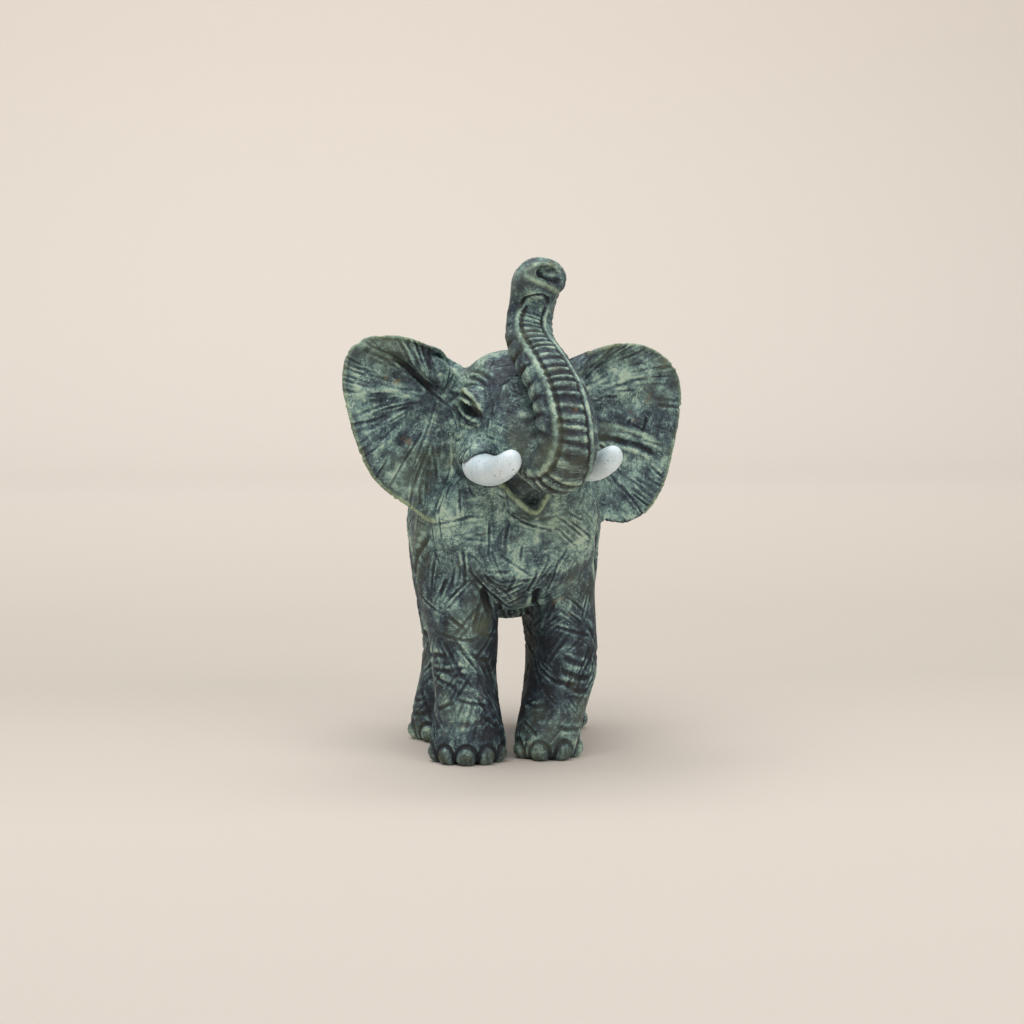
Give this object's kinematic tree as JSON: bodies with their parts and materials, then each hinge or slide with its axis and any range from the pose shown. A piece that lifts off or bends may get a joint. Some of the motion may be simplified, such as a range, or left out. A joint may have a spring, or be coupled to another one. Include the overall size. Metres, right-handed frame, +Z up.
{
  "type": "elephant sculpture",
  "caption": "Cast resin elephant figure standing on four feet, ears spread, trunk raised in an S over its forehead, mouth open, with white tusks set beside the trunk.",
  "frame": {"origin": "on the floor, under the middle of the figure's outer size", "axes": "+Z up, the body faces -Y, +X is the elephant's left side; the head is turned 20 degrees to its left"},
  "size_m": [0.1048, 0.1152, 0.1494],
  "materials": {
    "painted_resin": "matt, dark slate paint dry-brushed with pale verdigris green",
    "white_tusk": "smooth semi-gloss white paint"
  },
  "bodies": {
    "root": {"elephant": "painted_resin", "tusk_right": "white_tusk", "tusk_left": "white_tusk"}
  },
  "joints": []
}
